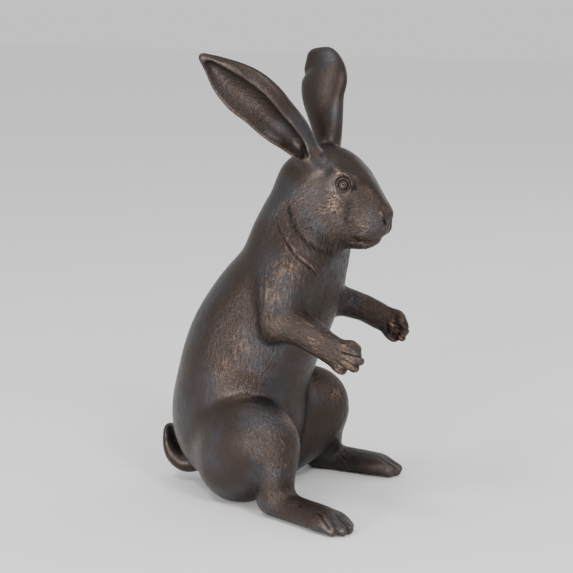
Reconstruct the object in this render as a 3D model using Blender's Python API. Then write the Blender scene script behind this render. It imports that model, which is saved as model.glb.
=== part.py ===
"""Bronze rabbit sitting up on its haunches: one hollow casting, about half a metre tall.

The rabbit faces -Y, its left side is +X, and it stands on z = 0 on both hind feet and the rump.
Every form (body, thigh, foot, toe, ear) is a run of rings. Rounded beads along the run give the
rough mass, a voxel remesh joins the beads into one skin, and the skin then settles on the
blended surface of the same runs, with the ears, nostrils and mouth carved in.
"""
import math

import bmesh
import bpy
import numpy as np
from mathutils import Matrix

# Driving sizes in millimetres. The rings below are drawn for DRAWN_HEIGHT, so every other size
# of the rabbit is a share of its height.
MM = 0.001
HEIGHT = 513.0              # ground to ear tips
DRAWN_HEIGHT = 513.0
VOXEL = 2.6                 # rough skin, before it settles
TRIANGLES = 9600            # finished casting
CENTRE = (3, -13)           # (left, front) of the middle of the rabbit's box, in the rings' frame
FLAT = 0.3                  # what lies this near the ground is ground flat
BEAD_STEP = 0.35            # bead spacing as a share of the ring's half depth
RUN_STEP = 0.25             # spacing of the finer rings that the surface is worked out from
ROLL_STEP = 0.15            # the same along an ear
HEAD_TURN = -0.08           # the head looks slightly to its right: left per front
NECK_FRONT = 43             # where that turn starts

# Rings: (left, front, up, half width across, half depth)
TORSO = ((0, -69, 55, 50, 54), (0, -64, 82, 68, 78), (0, -59, 122, 71, 77), (0, -48, 170, 70, 73),
         (0, -30, 215, 62, 64), (0, -9, 260, 52, 51), (0, 7, 299, 44, 49), (0, 21, 330, 39, 46),
         (0, 32, 354, 33, 41))
CHEST = ((0, 41, 304, 28, 25), (0, 41, 277, 35, 26), (0, 33, 249, 43, 32), (0, 12, 207, 48, 37),
         (0, -8, 167, 46, 35))
TAIL = ((0, -112, 24, 13, 12), (0, -132, 21, 17, 13), (0, -146, 30, 17, 12), (0, -153, 45, 15, 8),
        (0, -155, 60, 10, 5))
SKULL = ((0, 29, 362, 29, 40), (-1, 51, 368, 32, 42), (-3, 70, 361, 31, 37),
         (-4, 90, 348, 24, 28), (-6, 106, 337, 18, 21), (-6, 112, 331, 14, 15))
JAW = ((0, 36, 340, 31, 39), (-1, 52, 337, 33, 41), (-3, 72, 328, 27, 32), (-4, 91, 316, 16, 20),
       (-5, 102, 314, 12, 14))
NOSE = ((-6, 112, 343, 9, 11), (-7, 120, 339, 8, 9))
LIP = ((13, 98, 326, 9, 15), (8, 111, 324, 8, 11), (5, 117, 323, 7, 8.5))

RIGHT = {
    "haunch": ((-44, -41, 49, 42, 52), (-56, -28, 69, 38, 56), (-66, -8, 79, 32, 46)),
    "knee": ((-62, -18, 80, 30, 45), (-71, 9, 79, 27, 32), (-76, 21, 61, 23, 22),
             (-79, 22, 41, 20, 20), (-81, 23, 26, 18, 20)),
    "shoulder": ((-28, 31, 292, 28, 31), (-46, 25, 270, 25, 30), (-58, 19, 246, 22, 26),
                 (-65, 21, 226, 20, 22)),
    "elbow": ((-64, 24, 220, 16, 17), (-62, 12, 209, 12, 12), (-60, 4, 203, 7, 7)),
    "forearm": ((-66, 23, 221, 19, 20), (-69, 37, 217, 18, 20), (-71, 55, 212, 17, 19),
                (-73, 74, 202, 14, 17), (-74, 90, 194, 11, 17), (-74, 98, 191, 9, 16)),
    "fingers": (((-71, 93, 197, 7, 9), (-71, 106, 201, 7, 8), (-71, 114, 199, 6, 5)),
                ((-74, 97, 195, 7, 9), (-75, 111, 193, 7, 8), (-75, 119, 187, 6, 5)),
                ((-77, 95, 190, 7, 9), (-79, 108, 185, 7, 9), (-79, 115, 180, 6, 5)),
                ((-74, 87, 189, 7, 9), (-76, 94, 179, 7, 7), (-76, 99, 175, 6, 5))),
    "ear": ((-24, 40, 395, 12, 12), (-27, 33, 407, 16, 13), (-31, 25, 418, 20, 13),
            (-38, 17, 429, 24, 13), (-45, 4, 443, 27, 13), (-53, -9, 459, 29, 12),
            (-61, -25, 473, 29, 10), (-69, -41, 487, 23, 8), (-75, -55, 500, 13, 6),
            (-80, -66, 509, 5, 4)),
}
LEFT = {
    "haunch": ((44, -46, 50, 42, 54), (56, -31, 68, 38, 59), (66, -16, 77, 32, 53)),
    "knee": ((64, -24, 77, 30, 53), (74, -1, 93, 28, 41), (79, 6, 85, 27, 37), (88, 8, 59, 23, 25),
             (98, 5, 36, 20, 21), (103, -1, 21, 17, 18)),
    "shoulder": ((28, 29, 294, 28, 32), (46, 19, 264, 25, 30), (58, 13, 238, 21, 26),
                 (64, 17, 224, 19, 22)),
    "elbow": ((63, 20, 218, 16, 17), (61, 9, 208, 12, 12), (59, 1, 202, 7, 7)),
    "forearm": ((65, 19, 221, 19, 21), (68, 31, 219, 18, 19), (71, 46, 216, 16, 17),
                (73, 65, 211, 14, 16), (74, 84, 203, 11, 16), (74, 95, 198, 9, 15)),
    "fingers": (((76, 95, 205, 7, 9), (74, 107, 204, 7, 8), (70, 114, 200, 6, 5)),
                ((73, 99, 200, 7, 9), (72, 113, 195, 7, 7), (68, 118, 189, 6, 5)),
                ((71, 100, 193, 7, 9), (70, 110, 186, 7, 8), (66, 115, 182, 6, 5)),
                ((72, 93, 193, 7, 9), (70, 99, 184, 7, 7), (67, 105, 180, 6, 5))),
    "ear": ((24, 40, 395, 12, 12), (27, 38, 410, 15, 14), (31, 35, 424, 18, 14),
            (37, 30, 442, 22, 14), (46, 24, 458, 26, 13), (57, 20, 475, 29, 12),
            (66, 14, 488, 26, 9), (73, 4, 497, 20, 7), (77, -3, 503, 8, 5)),
}
EAR_OPENS = {-1: (-0.99, 0.15, -0.20), 1: (0.99, 0.05, -0.20)}
EAR_RIM = 3.0               # left standing beside the hollow
HOLLOW_WIDE, HOLLOW_DEEP = 0.80, 1.5           # the cutter, as shares of the ear's own size
HOLLOW_LIFT, HOLLOW_SHIFT = 1.15, 0.20         # how far it is lifted, and moved to the rear

# Hind foot in its own frame: (outwards, along, up, half width, half depth)
FOOT = ((0, 6, 18, 17, 18), (0, 26, 15, 17, 16), (0, 50, 13, 18, 14.5), (0, 72, 12, 20, 13.5),
        (0, 88, 11, 20, 12))
TOES = ((-13, 82, -13, 106), (-4.5, 84, -5, 112), (4.5, 84, 5, 111), (13, 80, 13, 103))
HEEL = {-1: ((-78, 10), -16), 1: ((104, -17), 4)}      # where it stands, and its heading

# Small features of the head, on its left, before the head turns
EYE = ((22.4, 81, 370.5, 9.5, 9.5), (20, 81, 370.5, 9.5, 9.5))
BROW = ((18, 91, 377, 3, 3), (22, 83, 381, 4, 4), (24, 70, 384, 5, 5))
MOUTH = ((0, 123, 314, 1.6, 1.6), (6, 113, 307, 1.8, 1.8), (12, 99, 306, 1.8, 1.8),
         (19, 88, 311, 1.6, 1.6))
NOSTRIL = ((12, 121, 341, 1.3, 1.3), (11.5, 124, 336, 1.8, 2), (9.5, 127, 331, 1.6, 1.6))

SOFT = {                    # widths of the fillets where forms meet
    "chest": 24, "shoulder": 22, "leg": 11, "knee": 14, "foot": 8, "toe": 3, "arm": 12,
    "elbow": 8, "finger": 2.5, "jaw": 10, "lip": 5, "brow": 9, "nose": 4,
    "nostril": 1.5, "mouth": 2, "eye": 1.5, "hollow": 1.5, "ear": 12, "head": 10,
    "tail": 5, "ground": 1.5,
}


def placed(point):
    """(left, front, up) as x, y, z"""
    left, front, up = point
    return np.array([left - CENTRE[0], CENTRE[1] - front, up], float)


def smooth_run(rings, spacing):
    """Finer rings along a smooth curve through the given ones, closer where the form is thin."""
    rings = np.array(rings, float)
    ends = np.vstack([2 * rings[0] - rings[1], rings, 2 * rings[-1] - rings[-2]])
    pieces = []
    for a, b, c, d in zip(ends, ends[1:], ends[2:], ends[3:]):
        steps = np.linalg.norm(c[:3] - b[:3]) / (spacing * min(b[4], c[4]))
        count = max(2, math.ceil(steps))
        t = (np.arange(count) / count)[:, None]
        pieces.append(0.5 * (2 * b + (c - a) * t + (2 * a - 5 * b + 4 * c - d) * t ** 2
                             + (3 * b - a - 3 * c + d) * t ** 3))
    return np.vstack(pieces + [rings[-1:]])


def unit(vectors):
    return vectors / np.linalg.norm(vectors, axis=-1, keepdims=True)


class Form:
    """A rounded form swept along a run of rings, round in the plane square to its side axis."""

    def __init__(self, rings, side=(1, 0, 0), spacing=RUN_STEP):
        run = smooth_run(rings, spacing)
        centres = np.array([placed(ring[:3]) for ring in run])
        sides = unit(np.broadcast_to(np.asarray(side, float), centres.shape) * (1, -1, 1))
        self.run = np.hstack([centres, run[:, 3:5], sides])
        reach = run[:, 3:5].max(axis=1)[:, None]
        self.low, self.high = (centres - reach).min(axis=0), (centres + reach).max(axis=0)

    def beads(self, bm):
        """Overlapping spheroids that fill the form."""
        last = None
        for ring in self.run:
            centre, wide, deep = ring[:3], ring[3], ring[4]
            if last is not None and np.linalg.norm(centre - last) < BEAD_STEP * deep:
                continue
            last = centre
            turn = Matrix(np.column_stack(square_axes(ring[5:8]))).to_4x4()
            place = Matrix.Translation(centre) @ turn @ Matrix.Diagonal((wide, deep, deep, 1))
            bmesh.ops.create_icosphere(bm, subdivisions=2, radius=1.0, matrix=place)

    def surface(self, points, reach=46.0):
        """Distance and outward direction of the form's skin at each point."""
        outside = np.maximum(np.maximum(self.low - points, points - self.high), 0)
        found = np.zeros((len(points), 4))
        found[:, 0] = np.linalg.norm(outside, axis=1) + 12.0
        near = np.flatnonzero(found[:, 0] < reach)
        for start in range(0, len(near), 8000):
            some = near[start:start + 8000]
            found[some] = self.near_surface(points[some])
        return found

    def near_surface(self, points):
        run = self.run
        offset = points[:, None, :] - run[:, :3]
        along = np.einsum("nmk,mk->nm", offset, run[:, 5:8])
        across = np.maximum(np.einsum("nmk,nmk->nm", offset, offset) - along ** 2, 0)
        scaled = np.sqrt(across / run[:, 4] ** 2 + along ** 2 / run[:, 3] ** 2) + 1e-9
        slope = np.sqrt(across / run[:, 4] ** 4 + along ** 2 / run[:, 3] ** 4) + 1e-12
        value = scaled * (scaled - 1) / slope
        rows = np.arange(len(points))
        best = np.clip(value.argmin(axis=1), 1, len(run) - 2)
        before, here, after = (value[rows, best + step] for step in (-1, 0, 1))
        t = np.clip((before - after) / (2 * np.maximum(before - 2 * here + after, 1e-6)), -1, 1)
        return spheroid(points, between(run[best - 1], run[best], run[best + 1], t[:, None]))


def square_axes(side):
    """The side axis and two more, all square to one another."""
    other = unit(np.cross(side, (0.3, 0.2, 1.0)))
    return side, other, np.cross(side, other)


def between(before, here, after, t):
    return here + 0.5 * t * (after - before) + 0.5 * t * t * (after - 2 * here + before)


def spheroid(points, ring):
    """Distance and outward direction of one spheroid, a ring for each point."""
    side = unit(ring[:, 5:8])
    offset = points - ring[:, :3]
    along = (offset * side).sum(axis=1, keepdims=True)
    across = offset - along * side
    wide, deep = ring[:, 3:4] ** 2, ring[:, 4:5] ** 2
    scaled = np.sqrt((across ** 2).sum(axis=1) / deep[:, 0] + along[:, 0] ** 2 / wide[:, 0]) + 1e-9
    slope = across / deep + side * along / wide
    steep = np.linalg.norm(slope, axis=1) + 1e-12
    return np.column_stack([scaled * (scaled - 1) / steep, slope / steep[:, None]])


def blend(one, other, width):
    """Union of two skins with a fillet of about this width."""
    share = np.clip(0.5 + 0.5 * (other[:, :1] - one[:, :1]) / width, 0, 1)
    both = other * (1 - share) + one * share
    both[:, :1] -= width * share * (1 - share)
    return both


def carve(one, cutter, width):
    """One skin with the cutter taken out of it."""
    return -blend(-one, cutter, width)


def on_foot(rows, side):
    """Rings in the foot's own frame, set on the ground at its heel and heading."""
    (left, front), heading = HEEL[side]
    cosine, sine = math.cos(math.radians(heading)), math.sin(math.radians(heading))
    return [(left + out * cosine + along * sine, front + along * cosine - out * sine, *rest)
            for out, along, *rest in rows]


def toe_rings(toe, side):
    out, along, tip_out, tip = toe
    middle = ((out + tip_out) / 2, (along + tip) / 2)
    rows = ((out, along, 10, 7, 8), (*middle, 10, 7, 8.5), (tip_out, tip, 6, 5.5, 6))
    return [(side * row[0], *row[1:]) for row in rows]


def ear_sides(rings, opens):
    """Across the ear at each fine ring, square to its run and to the way it opens."""
    run = smooth_run(rings, ROLL_STEP)[:, :3]
    return unit(np.cross(np.gradient(run, axis=0), opens)) * (-1, -1, -1)


def ear_hollow(rings, opens, side):
    """Rings of the cutter that hollows the ear, nearer its rear rim than its rolled front rim."""
    rings = np.array(rings[2:-1], float)
    across = unit(np.cross(rings[-1, :3] - rings[0, :3], opens)) * -side
    hollow = rings.copy()
    lift, shift = rings[:, 4] * HOLLOW_LIFT, rings[:, 3] * HOLLOW_SHIFT
    hollow[:, :3] += np.outer(lift, opens) + np.outer(shift, across)
    hollow[:, 3] = (rings[:, 3] - EAR_RIM) * HOLLOW_WIDE
    hollow[:, 4] = rings[:, 4] * HOLLOW_DEEP
    return hollow


def on_head(rings, side):
    """A small feature on one side of the head, which is turned a little."""
    return [(side * ring[0] + HEAD_TURN * (ring[1] - NECK_FRONT), *ring[1:]) for ring in rings]


def limb_forms(limbs, side):
    forms = {name: Form(limbs[name]) for name in
             ("haunch", "knee", "shoulder", "elbow", "forearm")}
    heading = math.radians(HEEL[side][1])
    across = (math.cos(heading), -math.sin(heading), 0)
    forms["foot"] = Form(on_foot(FOOT, side), across)
    forms["toes"] = [Form(on_foot(toe_rings(toe, side), side), across) for toe in TOES]
    forms["fingers"] = [Form(rings) for rings in limbs["fingers"]]
    opens = unit(np.array(EAR_OPENS[side]))
    hollow = ear_hollow(limbs["ear"], opens, side)
    forms["ear"] = Form(limbs["ear"], ear_sides(limbs["ear"], opens), ROLL_STEP)
    forms["hollow"] = Form(hollow, ear_sides(hollow, opens), ROLL_STEP)
    return forms


def head_forms(side):
    small = {"lip": LIP, "eye": EYE, "brow": BROW, "mouth": MOUTH, "nostril": NOSTRIL}
    return {name: Form(on_head(rings, side)) for name, rings in small.items()}


MIDDLE = {name: Form(rings) for name, rings in
          {"torso": TORSO, "chest": CHEST, "tail": TAIL, "skull": SKULL, "jaw": JAW,
           "nose": NOSE}.items()}
SIDES = [{**limb_forms(limbs, side), **head_forms(side)} for limbs, side in ((RIGHT, -1), (LEFT, 1))]


def leg_surface(points, forms):
    leg = blend(forms["haunch"].surface(points), forms["knee"].surface(points), SOFT["knee"])
    foot = forms["foot"].surface(points)
    for toe in forms["toes"]:
        foot = blend(foot, toe.surface(points), SOFT["toe"])
    return blend(leg, foot, SOFT["foot"])


def arm_surface(points, forms):
    arm = blend(forms["forearm"].surface(points), forms["elbow"].surface(points), SOFT["elbow"])
    for finger in forms["fingers"]:
        arm = blend(arm, finger.surface(points), SOFT["finger"])
    return arm


def head_surface(points):
    head = blend(MIDDLE["skull"].surface(points), MIDDLE["jaw"].surface(points), SOFT["jaw"])
    for forms in SIDES:
        head = blend(head, forms["lip"].surface(points), SOFT["lip"])
        head = blend(head, forms["brow"].surface(points), SOFT["brow"])
    head = blend(head, MIDDLE["nose"].surface(points), SOFT["nose"])
    for forms in SIDES:
        head = carve(head, forms["nostril"].surface(points), SOFT["nostril"])
        head = carve(head, forms["mouth"].surface(points), SOFT["mouth"])
        head = blend(head, forms["eye"].surface(points), SOFT["eye"])
        ear = carve(forms["ear"].surface(points), forms["hollow"].surface(points), SOFT["hollow"])
        head = blend(head, ear, SOFT["ear"])
    return head


def rabbit_surface(points):
    """Distance and outward direction of the whole rabbit's skin at each point."""
    body = blend(MIDDLE["torso"].surface(points), MIDDLE["chest"].surface(points), SOFT["chest"])
    for forms in SIDES:
        body = blend(body, forms["shoulder"].surface(points), SOFT["shoulder"])
        body = blend(body, leg_surface(points, forms), SOFT["leg"])
        body = blend(body, arm_surface(points, forms), SOFT["arm"])
    body = blend(body, head_surface(points), SOFT["head"])
    body = blend(body, MIDDLE["tail"].surface(points), SOFT["tail"])
    ground = np.column_stack([points[:, 2], np.tile((0.0, 0.0, 1.0), (len(points), 1))])
    return carve(body, ground, SOFT["ground"])


def all_solid_forms():
    for form in MIDDLE.values():
        yield form
    for forms in SIDES:
        for name, form in forms.items():
            if name in ("hollow", "mouth", "nostril"):
                continue
            yield from form if isinstance(form, list) else [form]


def bead_object():
    """The rough mass: all the beads in one mesh, in millimetres."""
    bm = bmesh.new()
    for form in all_solid_forms():
        form.beads(bm)
    mesh = bpy.data.meshes.new("beads")
    bm.to_mesh(mesh)
    bm.free()
    beads = bpy.data.objects.new("beads", mesh)
    bpy.context.scene.collection.objects.link(beads)
    return beads


def shaped_by(obj, modifier_type, **settings):
    """Replace the object's mesh with what the modifier makes of it."""
    modifier = obj.modifiers.new("shape", modifier_type)
    for name, value in settings.items():
        setattr(modifier, name, value)
    bpy.context.view_layer.update()
    evaluated = obj.evaluated_get(bpy.context.evaluated_depsgraph_get())
    mesh = bpy.data.meshes.new_from_object(evaluated)
    obj.modifiers.clear()
    obj.data = mesh


def points_of(mesh):
    points = np.empty(len(mesh.vertices) * 3, np.float32)
    mesh.vertices.foreach_get("co", points)
    return points.reshape(-1, 3).astype(float)


def edges_of(mesh):
    edges = np.empty(len(mesh.edges) * 2, np.int32)
    mesh.edges.foreach_get("vertices", edges)
    return edges.reshape(-1, 2)


def relaxed(points, edges, share):
    """Each point moved this share of the way to the mean of its neighbours."""
    total, count = np.zeros_like(points), np.zeros(len(points))
    for one, other in ((0, 1), (1, 0)):
        for axis in range(3):
            total[:, axis] += np.bincount(edges[:, one], points[edges[:, other], axis], len(points))
        count += np.bincount(edges[:, one], minlength=len(points))
    return points + share * (total / count[:, None] - points)


def settle(mesh, rounds, share):
    """Move the skin on to the rabbit's surface, easing it along the surface between moves."""
    points, edges = points_of(mesh), edges_of(mesh)
    for number in range(rounds):
        if number < rounds - 2:
            points = relaxed(points, edges, share)
        skin = rabbit_surface(points)
        points = points - np.clip(skin[:, :1], -3, 3) * unit(skin[:, 1:])
    points[points[:, 2] < FLAT, 2] = 0.0
    mesh.vertices.foreach_set("co", points.astype(np.float32).ravel())
    mesh.update()


def centre_on_origin(mesh):
    """Metres at the real height, with the origin under the middle of the box."""
    points = points_of(mesh)
    low, high = points.min(axis=0), points.max(axis=0)
    points -= ((low[0] + high[0]) / 2, (low[1] + high[1]) / 2, low[2])
    points *= MM * HEIGHT / DRAWN_HEIGHT
    mesh.vertices.foreach_set("co", points.astype(np.float32).ravel())
    mesh.update()


def bronze():
    material = bpy.data.materials.new("dark_brown_bronze")
    material.use_nodes = True
    shader = material.node_tree.nodes["Principled BSDF"]
    shader.inputs["Base Color"].default_value = (0.085, 0.068, 0.060, 1)
    shader.inputs["Metallic"].default_value = 0.85
    shader.inputs["Roughness"].default_value = 0.42
    material.diffuse_color = (0.085, 0.068, 0.060, 1)
    return material


def make_rabbit():
    rabbit = bead_object()
    rabbit.name = "rabbit"
    shaped_by(rabbit, "REMESH", mode="VOXEL", voxel_size=VOXEL)
    settle(rabbit.data, rounds=14, share=0.45)
    shaped_by(rabbit, "TRIANGULATE")
    shaped_by(rabbit, "DECIMATE", ratio=TRIANGLES / len(rabbit.data.polygons))
    settle(rabbit.data, rounds=2, share=0.0)
    centre_on_origin(rabbit.data)
    rabbit.data.name = "rabbit"
    rabbit.data.materials.clear()
    rabbit.data.materials.append(bronze())
    rabbit.data.shade_smooth()
    return rabbit


def main():
    for obj in list(bpy.data.objects):
        bpy.data.objects.remove(obj, do_unlink=True)
    make_rabbit()


main()
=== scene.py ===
"""Finished look of a bronze rabbit sitting up: chased fur, carved eyes and a rubbed dark patina.

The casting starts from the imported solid. Its facets are rounded off as curved patches, meshed
finely, carved with eyes, nostrils, mouth, ear folds, toes and fur, and thinned to one closed skin.
Sizes are in millimetres in the frame's own axes: the rabbit faces -Y, its left side is +X.
"""
import logging
import math
from dataclasses import dataclass, replace
from enum import Enum
from typing import Iterable, Sequence

import bmesh
import bpy
import numpy as np
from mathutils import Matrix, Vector


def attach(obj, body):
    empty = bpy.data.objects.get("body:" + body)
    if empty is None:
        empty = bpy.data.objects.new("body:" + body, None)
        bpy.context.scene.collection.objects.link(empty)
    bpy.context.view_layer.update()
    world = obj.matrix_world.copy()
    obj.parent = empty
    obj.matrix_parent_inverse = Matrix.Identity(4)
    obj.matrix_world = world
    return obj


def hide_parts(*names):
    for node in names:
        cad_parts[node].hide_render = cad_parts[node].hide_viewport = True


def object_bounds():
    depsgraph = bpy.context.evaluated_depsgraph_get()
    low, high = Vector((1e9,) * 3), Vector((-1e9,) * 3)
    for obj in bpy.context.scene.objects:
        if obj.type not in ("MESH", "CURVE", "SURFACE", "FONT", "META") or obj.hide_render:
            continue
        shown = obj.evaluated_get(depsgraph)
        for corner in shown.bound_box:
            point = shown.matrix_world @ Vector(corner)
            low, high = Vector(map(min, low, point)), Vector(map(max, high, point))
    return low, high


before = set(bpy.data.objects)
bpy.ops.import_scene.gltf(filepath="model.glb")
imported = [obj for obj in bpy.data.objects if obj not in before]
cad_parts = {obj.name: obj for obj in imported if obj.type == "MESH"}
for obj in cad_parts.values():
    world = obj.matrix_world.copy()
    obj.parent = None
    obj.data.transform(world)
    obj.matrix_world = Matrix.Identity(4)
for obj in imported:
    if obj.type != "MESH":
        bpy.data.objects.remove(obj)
CAD_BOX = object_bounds()

MM = 0.001
LOG = logging.getLogger("rabbit")

# The middle of the neck, the head's turn in x per y, and where in y that turn starts
HEAD_MIDDLE, HEAD_TURN, NECK_FRONT = -3.0, -0.08, -57.0

Colour = tuple[float, float, float, float]
Place = tuple[float, float, float]


def unit(vectors: np.ndarray) -> np.ndarray:
    """Vectors scaled to length one."""
    return vectors / (np.linalg.norm(vectors, axis=-1, keepdims=True) + 1e-12)


def bell(distance: np.ndarray, width: float) -> np.ndarray:
    """One at no distance, falling to a third at this width: e to the minus squared ratio."""
    return np.exp(-((distance / width) ** 2))


def step_up(values: np.ndarray, low: float, high: float) -> np.ndarray:
    """Zero below low, one above high, and a smooth cubic between them."""
    t = np.clip((values - low) / (high - low), 0.0, 1.0)
    return t * t * (3.0 - 2.0 * t)


class Grain:
    """Seeded lattice noise: random values on whole numbers, joined by smooth cubics."""

    def __init__(self, seed: int) -> None:
        """Deals the lattice's random values.

        Args:
            seed: Which pattern it is.
        """
        rng = np.random.default_rng(seed)
        self.order = rng.permutation(256)
        self.value = rng.uniform(-1.0, 1.0, 256)

    def at(self, places: np.ndarray) -> np.ndarray:
        """Noise from -1 to 1 at each place.

        Args:
            places: An array of points, with one unit for each lattice cell.

        Returns:
            One value for each point: the mean of the cell's eight corners, each weighted by
            the product of its three cubic shares.
        """
        cell = np.floor(places).astype(int)
        share = places - cell
        share = share * share * (3.0 - 2.0 * share)
        total = np.zeros(len(places))
        for corner in np.ndindex(2, 2, 2):
            x, y, z = ((cell + corner) & 255).T
            spot = self.order[(x + self.order[(y + self.order[z]) & 255]) & 255]
            weight = np.prod(np.where(corner, share, 1.0 - share), axis=1)
            total += weight * self.value[spot]
        return total


class Skin:
    """The casting's surface while it is being carved: a mesh read and written as whole arrays."""

    def __init__(self, mesh: bpy.types.Mesh) -> None:
        """Wraps a mesh whose points are in metres."""
        self.mesh = mesh

    def points(self) -> np.ndarray:
        """Reads the skin's points.

        Returns:
            One row of x, y, z in millimetres for each point.
        """
        found = np.empty(len(self.mesh.vertices) * 3, np.float32)
        self.mesh.vertices.foreach_get("co", found)
        return found.reshape(-1, 3).astype(float) / MM

    def move_to(self, points: np.ndarray) -> None:
        """Puts every point where it is told, in millimetres."""
        self.mesh.vertices.foreach_set("co", (points * MM).astype(np.float32).ravel())
        self.mesh.update()

    def normals(self) -> np.ndarray:
        """Reads the outward directions.

        Returns:
            One row of length one for each point.
        """
        found = np.empty(len(self.mesh.vertices) * 3, np.float32)
        self.mesh.vertex_normals.foreach_get("vector", found)
        return found.reshape(-1, 3).astype(float)

    def edges(self) -> np.ndarray:
        """Reads the skin's edges.

        Returns:
            The numbers of both ends, one row for each edge.
        """
        found = np.empty(len(self.mesh.edges) * 2, np.int32)
        self.mesh.edges.foreach_get("vertices", found)
        return found.reshape(-1, 2)

    def averaged(self, values: np.ndarray, rounds: int, share: float = 0.5) -> np.ndarray:
        """Values moved towards the mean of their neighbours.

        Args:
            values: One row for each point.
            rounds: How many times.
            share: How far towards the mean each time.

        Returns:
            The smoothed values, in the same shape.
        """
        edges = self.edges()
        ends = np.concatenate([edges[:, 0], edges[:, 1]])
        others = np.concatenate([edges[:, 1], edges[:, 0]])
        count = np.maximum(np.bincount(ends, minlength=len(values)), 1)
        columns = values.reshape(len(values), -1).T.copy()
        for _ in range(rounds):
            for number, column in enumerate(columns):
                mean = np.bincount(ends, column[others], len(values)) / count
                columns[number] = column + share * (mean - column)
        return columns.T.reshape(values.shape)

    def keep(self, name: str, values: np.ndarray) -> None:
        """Stores one number at every point, for the finish to read."""
        attribute = self.mesh.attributes.new(name, "FLOAT", "POINT")
        attribute.data.foreach_set("value", values.astype(np.float32))


def mesh_of(name: str, points: np.ndarray, faces: np.ndarray) -> bpy.types.Mesh:
    """Makes a mesh from whole arrays.

    Args:
        name: The mesh's name.
        points: Its points, in metres.
        faces: The numbers of each face's corners.

    Returns:
        The new mesh.
    """
    mesh = bpy.data.meshes.new(name)
    mesh.from_pydata(points.tolist(), [], faces.tolist())
    mesh.update()
    return mesh


def merged(mesh: bpy.types.Mesh, distance: float = 1e-6) -> bpy.types.Mesh:
    """Copies a mesh of loose faces as one joined skin.

    Args:
        mesh: The mesh to copy, which is left alone.
        distance: How near two points are, in metres, to become one.

    Returns:
        The copy with its doubled points merged.
    """
    bm = bmesh.new()
    bm.from_mesh(mesh)
    bmesh.ops.remove_doubles(bm, verts=bm.verts, dist=distance)
    copy = bpy.data.meshes.new(mesh.name + "_merged")
    bm.to_mesh(copy)
    bm.free()
    return copy


def modified(mesh: bpy.types.Mesh, kind: str, **settings: object) -> bpy.types.Mesh:
    """What one modifier makes of a mesh.

    Args:
        mesh: The mesh to change.
        kind: The modifier's type.
        settings: The modifier's own settings.

    Returns:
        A new mesh; the given one is left alone.
    """
    holder = bpy.data.objects.new("holder", mesh)
    bpy.context.scene.collection.objects.link(holder)
    modifier = holder.modifiers.new("shape", kind)
    for name, value in settings.items():
        setattr(modifier, name, value)
    evaluated = holder.evaluated_get(bpy.context.evaluated_depsgraph_get())
    made = bpy.data.meshes.new_from_object(evaluated)
    bpy.data.objects.remove(holder)
    return made


def curved_patches(mesh: bpy.types.Mesh, splits: int) -> bpy.types.Mesh:
    """The triangles of a mesh rounded off, so that its facets no longer show.

    Each triangle becomes a cubic patch: the third points of each edge are pulled on to the
    planes square to the corner normals, the middle point is moved out by half as much again as
    their mean, and the patch is the cubic sum of these points in the triangle's own shares.

    Args:
        mesh: A closed mesh of triangles.
        splits: How many pieces each edge is cut into.

    Returns:
        A closed mesh of the small triangles.
    """
    skin = Skin(mesh)
    points, normals = skin.points() * MM, skin.normals()
    corners = np.empty(len(mesh.loops), np.int32)
    mesh.loops.foreach_get("vertex_index", corners)
    corners = corners.reshape(-1, 3)
    p, n = points[corners], normals[corners]

    def third(a: int, b: int) -> np.ndarray:
        """The point a third of the way from corner a to corner b, on the plane at a."""
        lift = ((p[:, b] - p[:, a]) * n[:, a]).sum(axis=1, keepdims=True)
        return (2 * p[:, a] + p[:, b] - lift * n[:, a]) / 3

    rims = {(a, b): third(a, b) for a in range(3) for b in range(3) if a != b}
    mean = sum(rims.values()) / 6
    middle = mean + (mean - p.mean(axis=1)) / 2
    grid = [(i, j) for i in range(splits + 1) for j in range(splits + 1 - i)]
    place = {spot: number for number, spot in enumerate(grid)}
    shares = np.array([(splits - i - j, i, j) for i, j in grid], float).T / splits
    u, v, w = shares[:, None, :, None]
    patch = (p[:, 0, None] * u ** 3 + p[:, 1, None] * v ** 3 + p[:, 2, None] * w ** 3
             + 3 * (rims[0, 1][:, None] * u * u * v + rims[1, 0][:, None] * v * v * u
                    + rims[1, 2][:, None] * v * v * w + rims[2, 1][:, None] * w * w * v
                    + rims[2, 0][:, None] * w * w * u + rims[0, 2][:, None] * u * u * w)
             + 6 * middle[:, None] * u * v * w)
    small = []
    for i, j in grid:
        if i + j < splits:
            small.append((place[i, j], place[i + 1, j], place[i, j + 1]))
        if i + j < splits - 1:
            small.append((place[i + 1, j], place[i + 1, j + 1], place[i, j + 1]))
    starts = np.arange(len(p))[:, None, None] * len(grid)
    faces = (np.array(small)[None] + starts).reshape(-1, 3)
    return merged(mesh_of("patches", patch.reshape(-1, 3), faces))


def smooth_line(stops: Sequence[Sequence[float]], pieces: int = 10) -> np.ndarray:
    """A finer line through a few stops.

    Between two stops the line is a Catmull-Rom cubic: its slope at each stop is half the step
    from the stop before to the stop after.

    Args:
        stops: The places that the line goes through.
        pieces: How many straight pieces stand for each cubic.

    Returns:
        The finer line's points, in order.
    """
    stops = np.array(stops, float)
    ends = np.vstack([2 * stops[0] - stops[1], stops, 2 * stops[-1] - stops[-2]])
    t = (np.arange(pieces) / pieces)[:, None]
    runs = [0.5 * (2 * b + (c - a) * t + (2 * a - 5 * b + 4 * c - d) * t ** 2
                   + (3 * b - a - 3 * c + d) * t ** 3)
            for a, b, c, d in zip(ends, ends[1:], ends[2:], ends[3:])]
    return np.vstack(runs + [stops[-1:]])


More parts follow.
